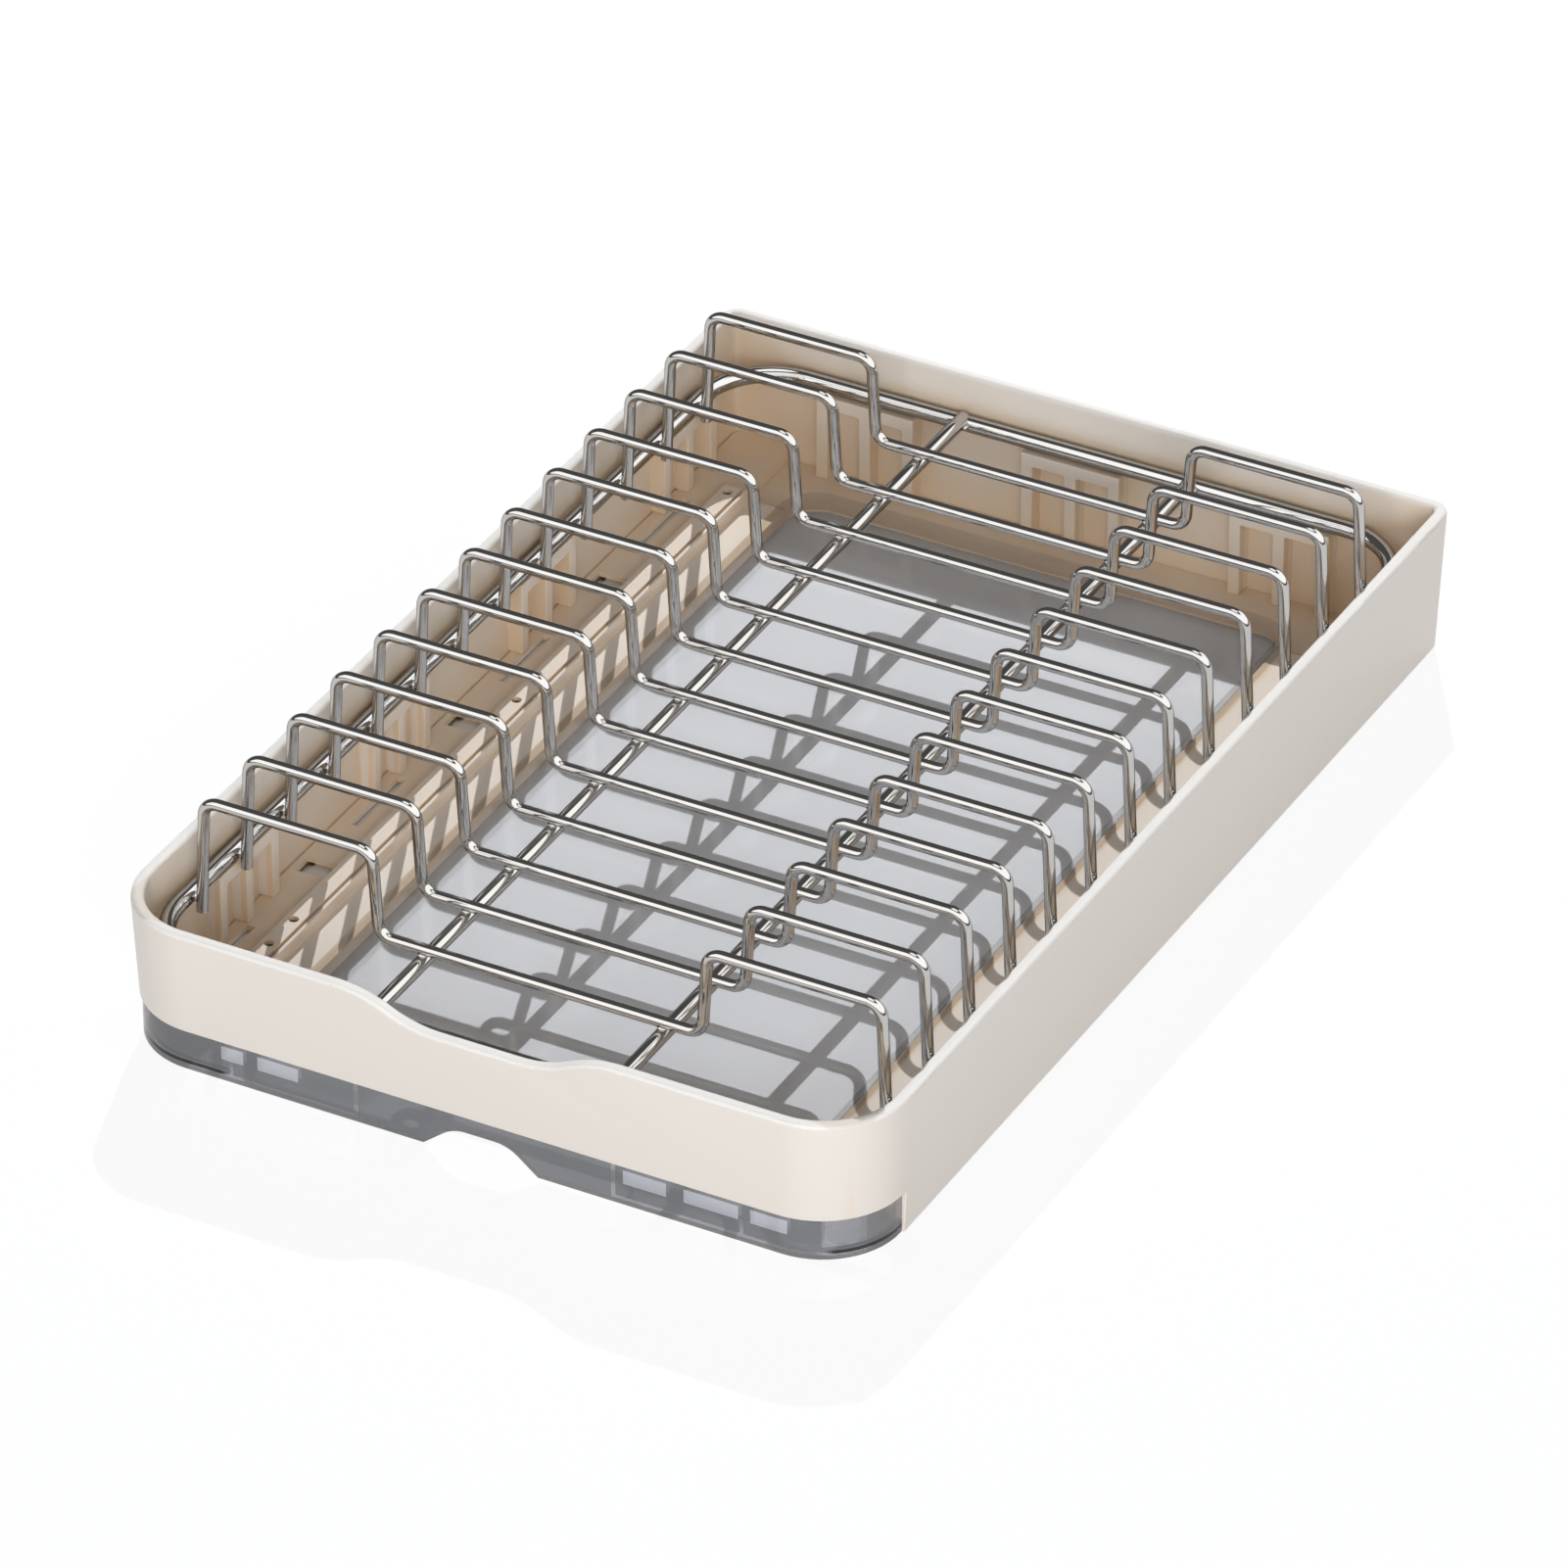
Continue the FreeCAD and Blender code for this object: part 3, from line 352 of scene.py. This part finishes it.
def on_outer_skin(tree, place, skin):
    """1 on the faces round the outside that look away from the drawer's middle, else 0."""
    flat = node(tree, "ShaderNodeVectorMath", operation="MULTIPLY")
    flat.inputs[1].default_value = (1, 1, 0)
    tree.links.new(place, flat.inputs[0])
    turned_out = node(tree, "ShaderNodeVectorMath", operation="DOT_PRODUCT")
    tree.links.new(flat.outputs[0], turned_out.inputs[0])
    tree.links.new(skin, turned_out.inputs[1])
    return maths(tree, "MULTIPLY", maths(tree, "GREATER_THAN", turned_out.outputs["Value"], 0),
                 outside_box(tree, cad_high.x - SKIN_REACH, cad_high.y - SKIN_REACH, MM))


def rim_highlight_mask(tree, skin):
    """1 on the faces near the outside that look up, where the rim's highlight is painted, else 0."""
    return maths(tree, "MULTIPLY", ramp_between(tree, split_up(tree, skin)["Z"], *RIM_FACING),
                 outside_box(tree, cad_high.x - RIM_REACH, cad_high.y - RIM_REACH, MM))


def moulded_plastic():
    material, tree, shader, place = surface("cream_moulding", IOR=1.48, Coat_Weight=0.45, Coat_Roughness=0.15)
    skin = node(tree, "ShaderNodeNewGeometry").outputs["True Normal"]
    open_tone = mixed(tree, noise(tree, place, *CREAM_CLOUDS), CREAM, CREAM_DEEP)
    sheltered = maths(tree, "SUBTRACT", 1, on_outer_skin(tree, place, skin))
    # Painted shade: deep corners and bays, bar the outer skin, take the darker, warmer cream.
    painted_shade_share = maths(tree, "MULTIPLY", painted_shade_mask(tree), sheltered)
    tone = mixed(tree, painted_shade_share, open_tone, CREAM_PAINTED_SHADE)
    # Painted highlight: the rim's upward faces take the paler cream.
    tree.links.new(mixed(tree, rim_highlight_mask(tree, skin), tone, CREAM_PAINTED_HIGHLIGHT), shader["Base Color"])
    tree.links.new(between(tree, noise(tree, place, *SATIN_CLOUDS), *SATIN), shader["Roughness"])
    tree.links.new(grain(tree, noise(tree, place, *GRAIN_CLOUDS), GRAIN_DEPTH, 0.5), shader["Normal"])
    return material


def dress(material, *names):
    """Give CAD nodes this material in every slot."""
    for name in names:
        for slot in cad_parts[name].material_slots:
            slot.material = material


def merged_copy(name):
    """A CAD node's mesh with its doubles merged and its flat faces joined."""
    shape = bmesh.new()
    shape.from_mesh(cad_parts[name].data)
    bmesh.ops.remove_doubles(shape, verts=shape.verts, dist=WELD_DISTANCE)
    bmesh.ops.dissolve_limit(shape, angle_limit=FLAT_ANGLE, verts=shape.verts, edges=shape.edges)
    for face in shape.faces:
        face.smooth = True
        face.material_index = 0
    mesh = bpy.data.meshes.new(name + "_moulding")
    shape.to_mesh(mesh)
    shape.free()
    return mesh


def plain_mesh(maker):
    """The maker's shape with its modifiers made real, as a plain mesh, and the modifiers gone."""
    seen = maker.evaluated_get(bpy.context.evaluated_depsgraph_get())
    mesh = bpy.data.meshes.new_from_object(seen)
    maker.modifiers.clear()
    return mesh


def mend_shading(mesh):
    """Corners whose shading strays far from their face are shaded flat."""
    shaded = [corner.vector.copy() for corner in mesh.corner_normals]
    for face in mesh.polygons:
        for corner in face.loop_indices:
            if shaded[corner].dot(face.normal) < STRAY_SHADING:
                shaded[corner] = face.normal.copy()
    mesh.normals_split_custom_set(shaded)


def rounded_moulding(name, body, edge, material):
    """A merged copy of a CAD node with its sharp edges rounded, standing in for that node."""
    piece = bpy.data.objects.new(name + "_moulding", merged_copy(name))
    scene.collection.objects.link(piece)
    bevel = piece.modifiers.new("rounded_edges", "BEVEL")
    bevel.width = edge
    bevel.segments = EDGE_STEPS
    bevel.limit_method = "ANGLE"
    bevel.angle_limit = SHARP_ANGLE
    bevel.use_clamp_overlap = False
    bevel.miter_outer = "MITER_ARC"
    cut_up = piece.modifiers.new("cut_up", "TRIANGULATE")
    cut_up.min_vertices = 5
    cut_up.ngon_method = "CLIP"
    piece.modifiers.new("even_shading", "WEIGHTED_NORMAL")
    finished = plain_mesh(piece)
    mend_shading(finished)
    finished.materials.clear()
    finished.materials.append(material)
    piece.data = finished
    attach(piece, body)
    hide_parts(name)


cream_plastic = moulded_plastic()
rounded_moulding("drawer_frame", "drawer", FRAME_EDGE, cream_plastic)
rounded_moulding("tray_carrier", "drawer", CARRIER_EDGE, cream_plastic)
dress(cream_plastic, "left_rail_housing", "right_rail_housing")

# The drip tray: one clear smoky moulding, pan, front and hand pull together.
# Its front is thick, and painted shade makes it dark and milky, so it looks darker than the pan. Painted
# patches of light run along the front's top and weakly into its upper right corner, and a painted dark line
# runs round each front corner, standing in for the thick plastic bending what lies behind it.
TRAY_EDGE = 0.4 * MM
SMOKE_CLEAR = (0.910, 0.903, 0.899)
# Painted shade: a darker tint over the front, where shade lies behind it.
FRONT_SHADE_TINT = (0.635, 0.635, 0.645)
SMOKE_EDGE = (0.50, 0.43, 0.35)
SMOKE_HAZE = (0.55, 0.56, 0.585)
PAN_SHARE = (0.015, 0.025)
PAN_CLOUDS = (9, 2)
# Painted shade: a dark milky haze over the front, and its share.
FRONT_SHADE_HAZE = (0.24, 0.24, 0.245)
FRONT_SHADE_SHARE = 0.50
FRONT_CORNER = (109.4 * MM, 184.4 * MM)
FRONT_INSIDE = 25.5 * MM
# Painted light: pale patches along the top of the front, standing in for lit floor seen through it, and a
# weaker share in the upper right corner.
LIGHT_PATCH_SPANS = ((-96 * MM, -87.5 * MM), (-82.5 * MM, -67 * MM),
                (52 * MM, 68 * MM), (74 * MM, 94 * MM), (98 * MM, 111.5 * MM))
LIGHT_PATCH_HEIGHT = (9.5 * MM, 15.0 * MM)
MASK_EDGE_SOFT = 0.3 * MM
PAINTED_LIGHT_PATCH = (0.62, 0.625, 0.65)
LIGHT_PATCH_SHARE = 0.60
CLEAR_CORNER = (122 * MM, 6.2 * MM)
CORNER_PAINTED_LIGHT = 0.45
# Painted shade: a dark line round each front corner, standing in for the thick plastic bending what lies
# behind it.
LINE_HEIGHT = (3.6 * MM, 5.3 * MM)
LINE_ENDS = (-92 * MM, 122 * MM)
LINE_FADE = 4 * MM
PAINTED_REFRACTION_DARK = (0.04, 0.04, 0.045)
GRAZING = (0.80, 0.97)
EDGE_TURN = 0.55
TRAY_SMOOTH = (0.03, 0.06)
TRAY_CLOUDS = (40, 3)
TRAY_IOR = 1.52


def in_front_part(tree, at):
    """1 in the front that wraps round the corners, outside its inner face, else 0."""
    across = maths(tree, "SUBTRACT", maths(tree, "ABSOLUTE", at["X"], 0), FRONT_CORNER[0])
    across = maths(tree, "MAXIMUM", across, 0)
    along = maths(tree, "MINIMUM", maths(tree, "ADD", at["Y"], FRONT_CORNER[1]), 0)
    reach = maths(tree, "SQRT", maths(tree, "ADD", maths(tree, "MULTIPLY", across, across),
                                      maths(tree, "MULTIPLY", along, along)), 0)
    return maths(tree, "GREATER_THAN", reach, FRONT_INSIDE)


def band_between(tree, value, ends):
    """1 where the value lies between the two ends, with soft edges, and 0 elsewhere."""
    return maths(tree, "MULTIPLY", ramp_between(tree, value, ends[0], ends[0] + MASK_EDGE_SOFT),
                 ramp_between(tree, value, ends[1], ends[1] - MASK_EDGE_SOFT))


def painted_light_patches(tree, at):
    """1 in the painted patches of light, else 0."""
    light_patch = 0
    for ends in LIGHT_PATCH_SPANS:
        light_patch = maths(tree, "MAXIMUM", band_between(tree, at["X"], ends), light_patch)
    return maths(tree, "MULTIPLY", light_patch, band_between(tree, at["Z"], LIGHT_PATCH_HEIGHT))


def clear_corner(tree, at):
    """1 in the upper part of the right front corner, else 0."""
    return maths(tree, "MULTIPLY",
                 ramp_between(tree, at["X"], CLEAR_CORNER[0], CLEAR_CORNER[0] + MASK_EDGE_SOFT),
                 ramp_between(tree, at["Z"], CLEAR_CORNER[1], CLEAR_CORNER[1] + MASK_EDGE_SOFT))


def corner_lines(tree, at):
    """1 in the painted dark line round each front corner, else 0."""
    left, right = LINE_ENDS
    span = maths(tree, "MAXIMUM", ramp_between(tree, at["X"], left, left - LINE_FADE),
                 ramp_between(tree, at["X"], right, right + LINE_FADE))
    return maths(tree, "MULTIPLY", span, band_between(tree, at["Z"], LINE_HEIGHT))


def edge_on(tree, skin, at_front):
    """1 on the cut edges of the front and where a wall is seen at a grazing angle, else 0."""
    facing = split_up(tree, skin["True Normal"])
    turned = maths(tree, "LESS_THAN", maths(tree, "ABSOLUTE", facing["Y"], 0), EDGE_TURN)
    grazing = node(tree, "ShaderNodeLayerWeight")
    grazing.inputs["Blend"].default_value = 0.5
    return maths(tree, "MAXIMUM", maths(tree, "MULTIPLY", at_front, turned),
                 ramp_between(tree, grazing.outputs["Facing"], *GRAZING))


def smoky_plastic():
    """Tinted clear plastic with a share of haze, and gloss on its outer side, with painted shade, painted
    patches of light and painted dark corner lines over its front.
    """
    material, tree = new_material("smoke_clear")
    place = object_place(tree)
    at = split_up(tree, place)
    skin = node(tree, "ShaderNodeNewGeometry").outputs
    ray = node(tree, "ShaderNodeLightPath").outputs
    at_front = in_front_part(tree, at)
    light_patch = maths(tree, "MULTIPLY", painted_light_patches(tree, at), at_front)
    corner = clear_corner(tree, at)
    # Painted shade over the front, bar the patches of light and the upper right corner.
    painted_dark_front = maths(tree, "MULTIPLY", at_front,
                   maths(tree, "SUBTRACT", 1, maths(tree, "MAXIMUM", light_patch, corner)))
    # Painted light: the patches in full and the upper right corner in part.
    lit = maths(tree, "MAXIMUM", light_patch,
                maths(tree, "MULTIPLY", maths(tree, "MULTIPLY", corner, at_front), CORNER_PAINTED_LIGHT))
    line = maths(tree, "MULTIPLY", corner_lines(tree, at), at_front)

    tint = mixed(tree, painted_dark_front, SMOKE_CLEAR, FRONT_SHADE_TINT)
    tint = mixed(tree, edge_on(tree, skin, at_front), tint, SMOKE_EDGE)
    # The painted dark line round each front corner.
    tint = mixed(tree, line, tint, PAINTED_REFRACTION_DARK)
    clear = node(tree, "ShaderNodeBsdfTransparent")
    tree.links.new(mixed(tree, ray["Is Shadow Ray"], tint, (1, 1, 1)), clear.inputs["Color"])
    haze = node(tree, "ShaderNodeBsdfDiffuse")
    # Painted shade over the front, painted light in the patches.
    haze_and_painted_shade = mixed(tree, painted_dark_front, SMOKE_HAZE, FRONT_SHADE_HAZE)
    tree.links.new(mixed(tree, lit, haze_and_painted_shade, PAINTED_LIGHT_PATCH), haze.inputs["Color"])
    thin_share = between(tree, noise(tree, place, *PAN_CLOUDS), *PAN_SHARE)
    painted_haze_share = maths(tree, "MAXIMUM", maths(tree, "MULTIPLY", painted_dark_front, FRONT_SHADE_SHARE),
                        maths(tree, "MULTIPLY", lit, LIGHT_PATCH_SHARE))
    hazy = maths(tree, "MULTIPLY", maths(tree, "MAXIMUM", thin_share, painted_haze_share),
                 maths(tree, "SUBTRACT", 1, line))
    body = blended(tree, hazy, clear.outputs[0], haze.outputs[0])

    gloss = node(tree, "ShaderNodeBsdfGlossy")
    tree.links.new(between(tree, noise(tree, place, *TRAY_CLOUDS), *TRAY_SMOOTH), gloss.inputs["Roughness"])
    mirror = node(tree, "ShaderNodeFresnel")
    mirror.inputs["IOR"].default_value = TRAY_IOR
    glossy = maths(tree, "MULTIPLY", mirror.outputs[0], maths(tree, "SUBTRACT", 1, skin["Backfacing"]))
    out = node(tree, "ShaderNodeOutputMaterial")
    tree.links.new(blended(tree, glossy, body, gloss.outputs[0]), out.inputs["Surface"])
    return material


rounded_moulding("drip_tray", "tray", TRAY_EDGE, smoky_plastic())

# The wire rack: a ring, two rods under the hoops and thirteen bent hoops, spot welded and chromed.
# Bright chrome over drawn wire, with faint draw lines that only soften its reflections.
CHROME = (0.55, 0.54, 0.525)
CHROME_DULL = tuple(0.92 * part for part in CHROME)
CHROME_EDGE = (0.35, 0.34, 0.33, 1)
CHROME_CLOUDS = (60, 2)
CHROME_LINES = (700, 4)
CHROME_SMOOTH = (0.03, 0.08)


def chrome():
    material, tree, shader, place = surface("bright_chrome", Metallic=1.0, Specular_Tint=CHROME_EDGE)
    tree.links.new(mixed(tree, noise(tree, place, *CHROME_CLOUDS), CHROME, CHROME_DULL), shader["Base Color"])
    tree.links.new(between(tree, noise(tree, place, *CHROME_LINES), *CHROME_SMOOTH), shader["Roughness"])
    return material


hoops = [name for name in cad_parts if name.startswith("hoop_")]
dress(chrome(), "rack_ring", "left_rod", "right_rod", *hoops)

# The spot welds of the rack: where a hoop lies on a rod, stands against the ring, or a rod ends on it.
# Each is a small flattened nugget that the chrome runs over, a little uneven from one to the next.
WELD_WIDE = 2.1 * MM
WELD_FLAT = 1.15 * MM
WELD_LIFT = 0.4 * MM
WELD_UNEVEN = 0.14
WELD_SEED = 4
WELD_FINE = 3
WELD_PALE = (0.62, 0.61, 0.60)
WELD_CLOUDS = (900, 2)
WELD_SPECKS = (1500, 3)
WELD_ROUGH = (0.10, 0.24)
WELD_BUMPS = (1100, 2)
WELD_RELIEF = 0.12 * MM


def weld_metal():
    material, tree, shader, place = surface("chromed_weld", Metallic=1.0)
    tree.links.new(mixed(tree, noise(tree, place, *WELD_CLOUDS), CHROME, WELD_PALE), shader["Base Color"])
    tree.links.new(between(tree, noise(tree, place, *WELD_SPECKS), *WELD_ROUGH), shader["Roughness"])
    tree.links.new(grain(tree, noise(tree, place, *WELD_BUMPS), WELD_RELIEF, 0.6), shader["Normal"])
    return material


def nugget_tree(material):
    """Points to small balls, each stretched by the point's own spread, then one mesh."""
    tree = bpy.data.node_groups.new("weld_nuggets", "GeometryNodeTree")
    tree.interface.new_socket("Places", in_out="INPUT", socket_type="NodeSocketGeometry")
    uneven = tree.interface.new_socket("Uneven", in_out="INPUT", socket_type="NodeSocketFloat")
    seed = tree.interface.new_socket("Seed", in_out="INPUT", socket_type="NodeSocketInt")
    tree.interface.new_socket("Nuggets", in_out="OUTPUT", socket_type="NodeSocketGeometry")
    start = node(tree, "NodeGroupInput")
    end = node(tree, "NodeGroupOutput")
    ball = node(tree, "GeometryNodeMeshIcoSphere")
    ball.inputs["Radius"].default_value = 1
    ball.inputs["Subdivisions"].default_value = WELD_FINE
    smooth = node(tree, "GeometryNodeSetShadeSmooth")
    spread = node(tree, "GeometryNodeInputNamedAttribute", data_type="FLOAT_VECTOR")
    spread.inputs["Name"].default_value = "spread"
    share = node(tree, "FunctionNodeRandomValue", data_type="FLOAT")
    size = node(tree, "ShaderNodeVectorMath", operation="SCALE")
    put = node(tree, "GeometryNodeInstanceOnPoints")
    real = node(tree, "GeometryNodeRealizeInstances")
    paint = node(tree, "GeometryNodeSetMaterial")
    paint.inputs["Material"].default_value = material
    tree.links.new(maths(tree, "SUBTRACT", 1, start.outputs["Uneven"]), share.inputs[2])
    share.inputs[3].default_value = 1
    tree.links.new(start.outputs["Seed"], share.inputs["Seed"])
    tree.links.new(spread.outputs[0], size.inputs[0])
    tree.links.new(share.outputs[1], size.inputs["Scale"])
    tree.links.new(start.outputs["Places"], put.inputs["Points"])
    tree.links.new(ball.outputs["Mesh"], smooth.inputs["Geometry"])
    tree.links.new(smooth.outputs[0], put.inputs["Instance"])
    tree.links.new(size.outputs[0], put.inputs["Scale"])
    tree.links.new(put.outputs[0], real.inputs[0])
    tree.links.new(real.outputs[0], paint.inputs["Geometry"])
    tree.links.new(paint.outputs[0], end.inputs[0])
    return tree, uneven.identifier, seed.identifier


def weld_places():
    """Each weld's place with its spread along X, Y and Z, worked out from the wires' boxes."""
    ring_low, ring_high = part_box("rack_ring")
    ring_thick = ring_high.z - ring_low.z
    ring_middle = (ring_low.z + ring_high.z) / 2
    found = []
    for rod in ("left_rod", "right_rod"):
        low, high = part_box(rod)
        middle_x = (low.x + high.x) / 2
        half_rod = (high.x - low.x) / 2
        for hoop in hoops:
            hoop_low, hoop_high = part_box(hoop)
            top = (middle_x, (hoop_low.y + hoop_high.y) / 2, high.z)
            found.append((top, (WELD_WIDE, WELD_WIDE, WELD_FLAT)))
        for ring_y in (ring_low.y + ring_thick / 2, ring_high.y - ring_thick / 2):
            inner_y = ring_y - math.copysign(ring_thick / 2, ring_y)
            for side in (-1, 1):
                beside = (middle_x + side * half_rod, inner_y, ring_middle + WELD_LIFT)
                found.append((beside, (WELD_FLAT, WELD_WIDE, WELD_FLAT)))
    for hoop in hoops:
        hoop_low, hoop_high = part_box(hoop)
        for face_x in (ring_low.x + ring_thick, ring_high.x - ring_thick):
            inside = (face_x, (hoop_low.y + hoop_high.y) / 2, ring_middle)
            found.append((inside, (WELD_FLAT, WELD_WIDE, WELD_WIDE)))
    return found


places = weld_places()
weld_mesh = bpy.data.meshes.new("rack_welds")
weld_mesh.from_pydata([place for place, spread in places], [], [])
spreads = weld_mesh.attributes.new("spread", "FLOAT_VECTOR", "POINT")
for spot, (place, spread) in enumerate(places):
    spreads.data[spot].vector = spread
rack_welds = bpy.data.objects.new("rack_welds", weld_mesh)
scene.collection.objects.link(rack_welds)
weld_tree, uneven_input, seed_input = nugget_tree(weld_metal())
nuggets = rack_welds.modifiers.new("nuggets", "NODES")
nuggets.node_group = weld_tree
nuggets[uneven_input] = WELD_UNEVEN
nuggets[seed_input] = WELD_SEED
rack_welds.data = plain_mesh(rack_welds)
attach(rack_welds, "rack")

# The slide rails: channels rolled from zinc plated strip, with faint lines along them from the rollers,
# bright balls in a thin spring steel cage between the two channels, and small zinc plated screws.
ZINC = (0.50, 0.525, 0.55)
ZINC_PALE = (0.64, 0.66, 0.68)
CAGE_STEEL = (0.40, 0.41, 0.42)
BALL_STEEL = (0.78, 0.79, 0.80)
SCREW_ZINC = (0.56, 0.57, 0.58)
METAL_CLOUDS = (130, 4)
METAL_DETAIL = 3
ROLLED_LINES = (900, 12, 900)
POLISHED = (300, 300, 300)
TUMBLED = (700, 700, 700)


def rolled_metal(name, tone, second, stretch, roughness, relief):
    """Metal whose gloss and relief follow one noise, stretched along the rail."""
    material, tree, shader, place = surface(name, Metallic=1.0)
    stretched = node(tree, "ShaderNodeMapping")
    stretched.inputs["Scale"].default_value = stretch
    tree.links.new(place, stretched.inputs["Vector"])
    lines = noise(tree, stretched.outputs[0], 1, METAL_DETAIL)
    tree.links.new(mixed(tree, noise(tree, place, *METAL_CLOUDS), tone, second), shader["Base Color"])
    tree.links.new(between(tree, lines, *roughness), shader["Roughness"])
    tree.links.new(grain(tree, lines, relief, 0.5), shader["Normal"])
    return material


dress(rolled_metal("zinc_plate", ZINC, ZINC_PALE, ROLLED_LINES, (0.30, 0.44), 0.004 * MM),
      "left_slide_outer", "right_slide_outer")
dress(rolled_metal("zinc_plate_inner", ZINC_PALE, ZINC, ROLLED_LINES, (0.26, 0.40), 0.004 * MM),
      "left_slide_inner", "right_slide_inner")
dress(rolled_metal("cage_strip", CAGE_STEEL, ZINC, ROLLED_LINES, (0.26, 0.38), 0.003 * MM),
      "left_ball_retainer", "right_ball_retainer")
dress(rolled_metal("ball_polish", BALL_STEEL, CHROME, POLISHED, (0.04, 0.09), 0.002 * MM),
      "left_slide_balls", "right_slide_balls")
dress(rolled_metal("screw_zinc", SCREW_ZINC, ZINC, TUMBLED, (0.28, 0.45), 0.03 * MM),
      "left_rail_screws", "right_rail_screws")

# The rubber buffers at the back of the tracks: soft black blocks that the drawer closes against.
# They are cut from moulded strip, matt, with a slightly pitted skin and rounded edges.
BUFFER_EDGE = 0.5 * MM
RUBBER = (0.035, 0.035, 0.037)
RUBBER_WORN = tuple(0.7 * part for part in RUBBER)
RUBBER_CLOUDS = (300, 3)
RUBBER_SPECKS = (800, 3)
RUBBER_MATT = (0.6, 0.8)
RUBBER_PITS = (1800, 3)
PIT_DEPTH = 0.05 * MM


def buffer_rubber():
    material, tree, shader, place = surface("buffer_rubber", IOR=1.5)
    tree.links.new(mixed(tree, noise(tree, place, *RUBBER_CLOUDS), RUBBER, RUBBER_WORN), shader["Base Color"])
    tree.links.new(between(tree, noise(tree, place, *RUBBER_SPECKS), *RUBBER_MATT), shader["Roughness"])
    tree.links.new(grain(tree, noise(tree, place, *RUBBER_PITS), PIT_DEPTH, 0.7), shader["Normal"])
    return material


rubber = buffer_rubber()
for buffer_name in ("left_rear_bumper", "right_rear_bumper"):
    rounded_moulding(buffer_name, "cabinet_rails", BUFFER_EDGE, rubber)
